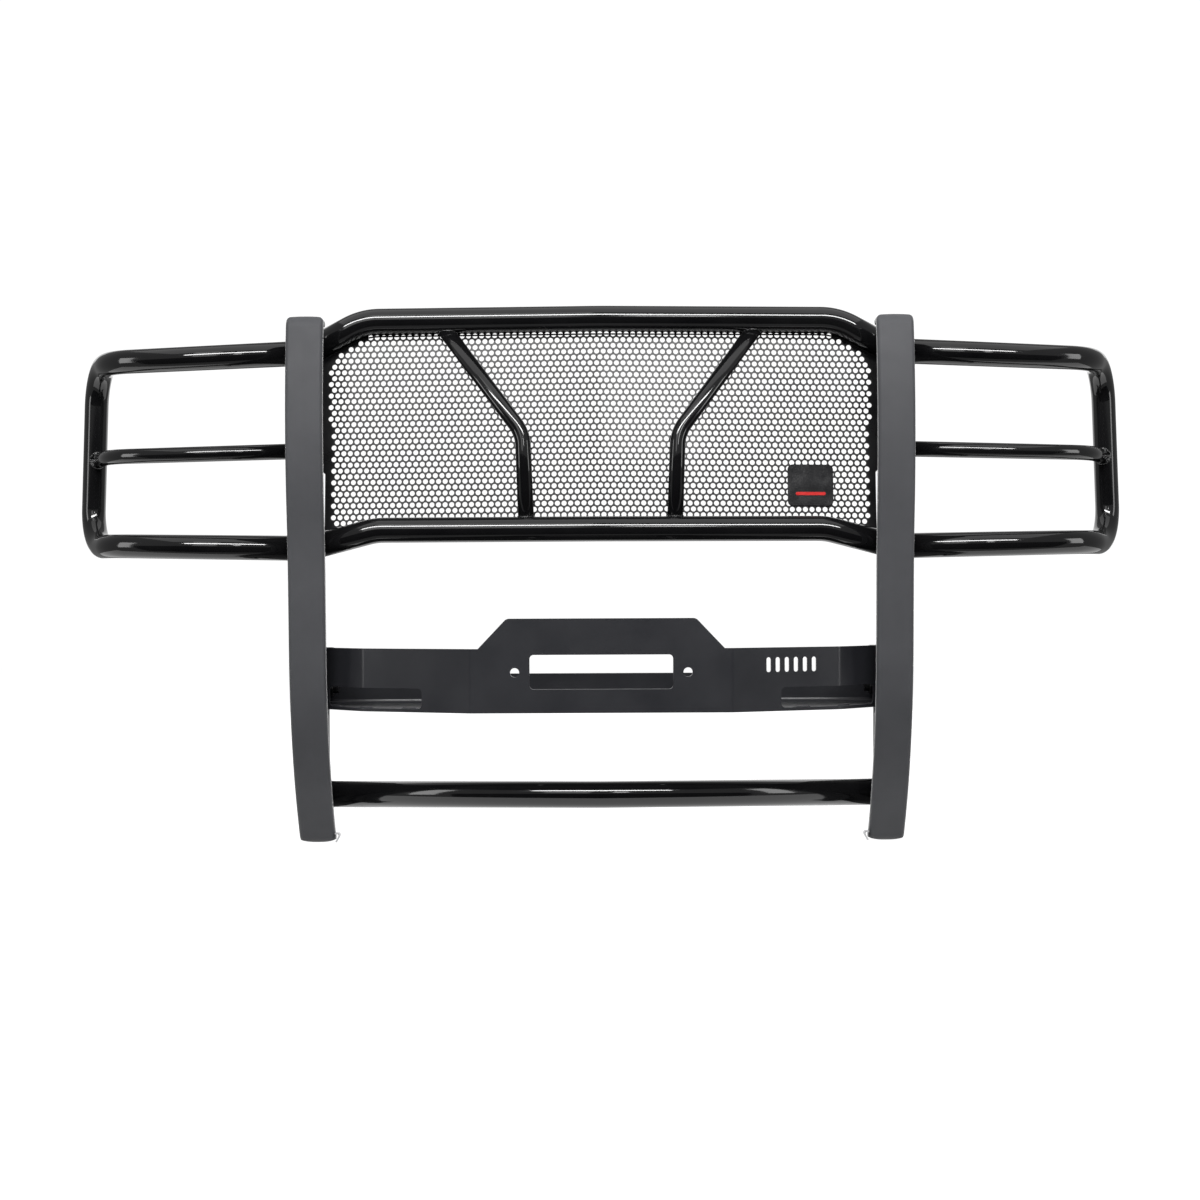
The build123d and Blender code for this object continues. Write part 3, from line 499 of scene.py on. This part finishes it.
def resampled(path, closed, step=BEAD_STEP):
    """Points evenly spaced along a path."""
    path = list(path) + ([path[0]] if closed else [])
    lengths = [0.0]
    for before, after in zip(path, path[1:]):
        lengths.append(lengths[-1] + (after - before).length)
    count = max(4, round(lengths[-1] / step))
    found = []
    span = 0
    for index in range(count + (0 if closed else 1)):
        goal = lengths[-1] * index / count
        while span < len(path) - 2 and lengths[span + 1] < goal:
            span += 1
        share = (goal - lengths[span]) / max(lengths[span + 1] - lengths[span], 1e-9)
        found.append(path[span].lerp(path[span + 1], share))
    return found


def bead_rings(path, radius, closed):
    """Rings of a weld bead, with the overlapping ripples that each step of the torch leaves."""
    line = resampled(path, closed)
    found = []
    across = None
    phase = luck.random()
    for index, centre in enumerate(line):
        after = line[(index + 1) % len(line)] if closed or index < len(line) - 1 else centre
        before = line[index - 1] if closed or index else centre
        heading = (after - before).normalized()
        across = heading.orthogonal().normalized() if across is None else across
        across = (across - heading * across.dot(heading)).normalized()
        up = heading.cross(across)
        wave = (index * BEAD_STEP / BEAD_RIPPLE + phase) % 1.0
        size = radius * (THINNEST + SWELL * math.sin(math.pi * wave) + UNEVEN * (luck.random() - 0.5))
        if not closed:
            from_end = min(index, len(line) - 1 - index)
            size *= math.sqrt(max(BEAD_TIP, min(1.0, from_end / BEAD_TAPER)))
        ring = []
        for side in range(BEAD_SIDES):
            angle = 2 * math.pi * side / BEAD_SIDES
            ring.append(centre + across * size * math.cos(angle) + up * size * math.sin(angle))
        found.append(ring)
    return found


def bead_group(name, beads, slot_name):
    """Several beads, each a path, a radius and whether it is closed, as one piece."""
    shape = bmesh.new()
    for path, radius, closed in beads:
        mesh = skin(name, bead_rings(path, radius, closed), caps=not closed)
        shape.from_mesh(mesh)
        bpy.data.meshes.remove(mesh)
    mesh = bpy.data.meshes.new(name)
    shape.to_mesh(mesh)
    shape.free()
    for face in mesh.polygons:
        face.use_smooth = True
    add_piece(name, mesh, slot_name)


def both_sides(path):
    """A path and its mirror image."""
    return [list(path), [Vector((-p.x, p.y, p.z)) for p in path]]


WELD_R = 0.0024
BRACE_WELD_R = 0.0018
SEAM_R = 0.0013
bar_welds = [(ring, WELD_R, True) for ring in upper_ends + lower_ends + bottom_ends]
bead_group("crossbar_welds", bar_welds, "gloss_tube")
wrap_rings = [hoop_loops[0], hoop_loops[-1], middle_loops[0], middle_loops[-1]]
wrap_welds = [(path, WELD_R, True) for ring in wrap_rings for path in both_sides(ring)]
bead_group("wrap_welds", wrap_welds, "gloss_tube")
brace_rings = [brace_loops[0], brace_loops[-1]]
brace_welds = [(path, BRACE_WELD_R, True) for ring in brace_rings for path in both_sides(ring)]
bead_group("brace_welds", brace_welds, "gloss_tube")

# A thin seam runs along the sheet's front just under the upper crossbar, and stitches behind both bars.
SEAM_DROP = 0.0215
SEAM_INSET = 0.002  # from the web to the seam's end
SEAM_PROUD = 0.0003  # how far the seam's middle stands off the sheet
inside = [p for p in upper_line if abs(p.x) < WEB_IN]
end_step = (inside[0] - upper_line[0]).normalized()
first = inside[0] - end_step * ((inside[0].x + WEB_IN - SEAM_INSET) / end_step.x)
last = Vector((-first.x, first.y, first.z))
seam_line = []
for point in [first] + inside + [last]:
    z = point.z - SEAM_DROP
    seam_line.append(Vector((point.x, grille_y(point.x, z, TUBE_R) - SEAM_PROUD, z)))

MILLIMETRE = 0.001
STITCH_R = 0.002
SHEET_STITCH, SHEET_GAP = 0.028, 0.06
STITCH_DEPTH = TUBE_R + 0.0018  # behind the crossbars' centre plane, just inside the sheet's back
STITCH_RISE = 0.001


def stitches(path, length, gap):
    """Cut a path into stitches with gaps between them."""
    line = resampled(path, False, MILLIMETRE)
    points = round(length / MILLIMETRE)
    stride = round((length + gap) / MILLIMETRE)
    margin = round(gap / 2 / MILLIMETRE)
    return [line[start : start + points] for start in range(margin, len(line) - points, stride)]


def along_sheet(line, rise):
    """A path on the back of a crossbar at a height above its centre, where the sheet's edge meets it."""
    return [Vector((p.x, grille_y(p.x, p.z + rise, STITCH_DEPTH), p.z + rise)) for p in line]


back_seams = stitches(along_sheet([first] + inside + [last], STITCH_RISE), SHEET_STITCH, SHEET_GAP)
lower_inside = [p for p in lower_line if abs(p.x) < WEB_IN]
back_seams += stitches(along_sheet(lower_inside, -STITCH_RISE), SHEET_STITCH, SHEET_GAP)
seam_beads = [(seam_line, SEAM_R, False)] + [(path, STITCH_R, False) for path in back_seams]
bead_group("sheet_seams", seam_beads, "gloss_tube")

# The tray is stitched to the winch plate's back, and the plate's ends to the tray's side plates.
TRAY_STITCH, TRAY_GAP = 0.03, 0.045
TRAY_WELD_R = 0.0022
FLOOR_STEP = 0.005  # from the tray's underside to its floor
PLATE = 0.006
WING_END_HIGH = 0.0943  # how high the wing's end is welded, from the plate's lowest edge
FLAT_HALF = 0.192  # where each wing starts
WING_BEND_X = 0.358  # where it turns again
WING_SWEEP = math.radians(22.5)  # how much it turns each time

tray_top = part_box("winch_tray")[0][2] + FLOOR_STEP
side_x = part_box("right_tray_side_plate")[0][0]
wing_bend_y = FACE_Y + (WING_BEND_X - FLAT_HALF) * math.tan(WING_SWEEP)
reach_in = PLATE / math.cos(WING_SWEEP / 2)
inner_first = Vector((FLAT_HALF - PLATE * math.tan(WING_SWEEP / 2), FACE_Y + PLATE, tray_top))
inner_x = WING_BEND_X - reach_in * math.sin(1.5 * WING_SWEEP)
inner_y = wing_bend_y + reach_in * math.cos(1.5 * WING_SWEEP)
inner_second = Vector((inner_x, inner_y, tray_top))
inner_tip = Vector((side_x, inner_second.y + side_x - inner_second.x, tray_top))
tray_half_line = [inner_first, inner_second, inner_tip]
tray_line = [Vector((-p.x, p.y, p.z)) for p in reversed(tray_half_line)] + tray_half_line
end_top = Vector((side_x, inner_tip.y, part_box("winch_face_plate")[0][2] + WING_END_HIGH))
tray_beads = [(path, TRAY_WELD_R, False) for path in stitches(tray_line, TRAY_STITCH, TRAY_GAP)]
tray_beads += [(path, WELD_R, False) for path in both_sides([inner_tip, end_top])]
bead_group("tray_welds", tray_beads, "plate_coat")


# ---------------------------------------------------------------- softened plate edges
EDGE_R = 0.0007
SHARP = math.radians(35)  # a corner is rounded where two faces turn by more than this
FLAT = math.radians(0.4)  # faces that turn by less are made one
SAME_POINT = 1e-6


def soften(name):
    """Stand in for a CAD plate with the same plate, its cut edges rounded enough to catch light."""
    node = NODES[name]
    shape = bmesh.new()
    shape.from_mesh(node.data)
    shape.transform(node.matrix_world)
    bmesh.ops.remove_doubles(shape, verts=shape.verts, dist=SAME_POINT)
    bmesh.ops.dissolve_limit(shape, angle_limit=FLAT, verts=shape.verts, edges=shape.edges)
    for face in shape.faces:
        face.smooth = True
    mesh = bpy.data.meshes.new(f"{name}_edged")
    shape.to_mesh(mesh)
    shape.free()
    piece = bpy.data.objects.new(f"{name}_edged", mesh)
    bpy.context.collection.objects.link(piece)
    rounding = piece.modifiers.new("rounding", "BEVEL")
    rounding.width = EDGE_R
    rounding.segments = 2
    rounding.limit_method = "ANGLE"
    rounding.angle_limit = SHARP
    shading = piece.modifiers.new("shading", "WEIGHTED_NORMAL")
    shading.weight = 100
    finished = bpy.data.meshes.new_from_object(piece.evaluated_get(bpy.context.evaluated_depsgraph_get()))
    piece.modifiers.clear()
    piece.data = finished
    bpy.data.meshes.remove(mesh)
    slot_name = SLOT_OF[name]
    finished.materials.clear()
    finished.materials.append(MATERIALS[slot_name])
    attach(piece, BODY)
    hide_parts(name)


for plate in ("winch_face_plate", "winch_tray"):
    soften(plate)
for side in ("left", "right"):
    for plate in ("tray_side_plate", "upright_web", "frame_bracket"):
        soften(f"{side}_{plate}")


# ---------------------------------------------------------------- stage and light
FLOOR_HALF = 8.0
SURROUND_R = 1.2 * FLOOR_HALF
WORLD_STRENGTH = 0.3
PAPER_HALF, PAPER_FRONT, PAPER_BACK, PAPER_Z = 1.6, -0.18, 0.9, -0.002
FLAG_HALF, FLAG_Y, FLAG_FOOT, FLAG_TOP = 6.0, -4.2, -5.0, 1.0


def glow(name, colour, strength, paint):
    """A matt surface lit from within, as a light table is, with a very faint mottle."""
    material, tree, shader, place = start_material(name)
    mottle = noise(tree, place, MOTTLE, detail=2.0)
    paler = tuple(channel * 1.02 for channel in colour)
    tree.links.new(blend_colours(tree, mottle, colour, paler), shader.inputs["Emission Color"])
    shader.inputs["Emission Strength"].default_value = strength
    shader.inputs["Base Color"].default_value = (paint, paint, paint, 1)
    shader.inputs["Roughness"].default_value = 1.0
    shader.inputs["Specular IOR Level"].default_value = 0.0
    return material


def stage_piece(name, mesh, material):
    """A finished mesh as part of the stage, not of the guard."""
    mesh.materials.append(material)
    piece = bpy.data.objects.new(name, mesh)
    bpy.context.collection.objects.link(piece)
    return piece


def quad(name, corners, material):
    """A flat four-cornered stage piece."""
    mesh = bpy.data.meshes.new(name)
    mesh.from_pydata(corners, [], [(0, 1, 2, 3)])
    return stage_piece(name, mesh, material)


def level(half, front, back, z):
    """Corners of a level sheet."""
    return [(-half, front, z), (half, front, z), (half, back, z), (-half, back, z)]


def upright(half, y, foot, top):
    """Corners of a sheet that stands across the view."""
    return [(-half, y, foot), (half, y, foot), (half, y, top), (-half, y, top)]


def only_seen(piece):
    """Let the camera see a stage piece without its lighting the object."""
    piece.visible_diffuse = False
    piece.visible_glossy = False
    piece.visible_shadow = False


floor_corners = level(FLOOR_HALF, -FLOOR_HALF, FLOOR_HALF, 0)
floor_paint = glow("floor_paint", (0.9, 0.9, 0.9), strength=1.0, paint=0.3)
only_seen(quad("floor", floor_corners, floor_paint))

# The white surround that the camera sees in every direction.
surround_mesh = bpy.data.meshes.new("surround")
surround_shape = bmesh.new()
bmesh.ops.create_icosphere(surround_shape, subdivisions=4, radius=SURROUND_R)
surround_shape.to_mesh(surround_mesh)
surround_shape.free()
surround_paint = glow("surround_paint", (1.0, 1.0, 1.0), strength=1.05, paint=0.0)
only_seen(stage_piece("surround", surround_mesh, surround_paint))

# A sheet of white paper just under the floor, seen only as a reflection in the guard's undersides.
paper_corners = level(PAPER_HALF, PAPER_FRONT, PAPER_BACK, PAPER_Z)
paper = quad("paper", paper_corners, glow("paper_white", (0.9, 0.9, 0.9), strength=1.3, paint=0.2))
paper.visible_diffuse = False
paper.visible_shadow = False

# A black flag in front of the guard, which keeps the lower front of its reflections dark.
flag_corners = upright(FLAG_HALF, FLAG_Y, FLAG_FOOT, FLAG_TOP)
flag = quad("flag", flag_corners, glow("flag_black", (0.01, 0.01, 0.01), strength=0.1, paint=0.01))
flag.visible_camera = False
flag.visible_shadow = False

world = bpy.data.worlds.new("studio")
bpy.context.scene.world = world
world.use_nodes = True
world.node_tree.nodes["Background"].inputs["Color"].default_value = (1, 1, 1, 1)
world.node_tree.nodes["Background"].inputs["Strength"].default_value = WORLD_STRENGTH


def softbox(name, place, target, size, brightness, reflected=True):
    """A rectangular light that faces a point, as bright as a surface of the given radiance."""
    data = bpy.data.lights.new(name, "AREA")
    data.shape = "RECTANGLE"
    data.size = size[0]
    data.size_y = size[1]
    data.energy = brightness * math.pi * size[0] * size[1]
    light = bpy.data.objects.new(name, data)
    bpy.context.collection.objects.link(light)
    light.location = place
    aim = Vector(target) - Vector(place)
    light.rotation_euler = aim.to_track_quat("-Z", "Y").to_euler()
    light.visible_glossy = reflected


# Each light's name, place, target, width and height, and brightness.
softbox("key_strip", (0, -2.6, 2.2), (0, 0, 0.55), (3.2, 0.34), 30)
softbox("left_box", (-0.8, -2.8, 2.2), (-0.2, 0, 0.6), (1.0, 2.4), 1.6)
softbox("right_spot", (0.62, -3.6, 1.75), (0.05, 0, 0.66), (0.35, 0.35), 12)
softbox("ceiling", (0, -0.6, 3.0), (0, -0.6, 0), (4.0, 3.0), 0.8)
softbox("overhead", (0, 0.1, 2.4), (0, 0, 0.5), (1.3, 0.8), 2.2, reflected=False)
softbox("backdrop", (0, 3.2, 1.4), (0, 0, 0.6), (6.0, 2.8), 1.0)
softbox("left_side", (-2.8, -1.2, 0.9), (-0.8, 0, 0.6), (0.5, 1.6), 4)
softbox("right_side", (2.8, -1.2, 0.9), (0.8, 0, 0.6), (0.5, 1.6), 4)
softbox("front_fill", (0, -1.5, 0.7), (0, 0, 0.6), (1.4, 0.3), 4.5, reflected=False)

bpy.context.scene.view_settings.view_transform = "Standard"
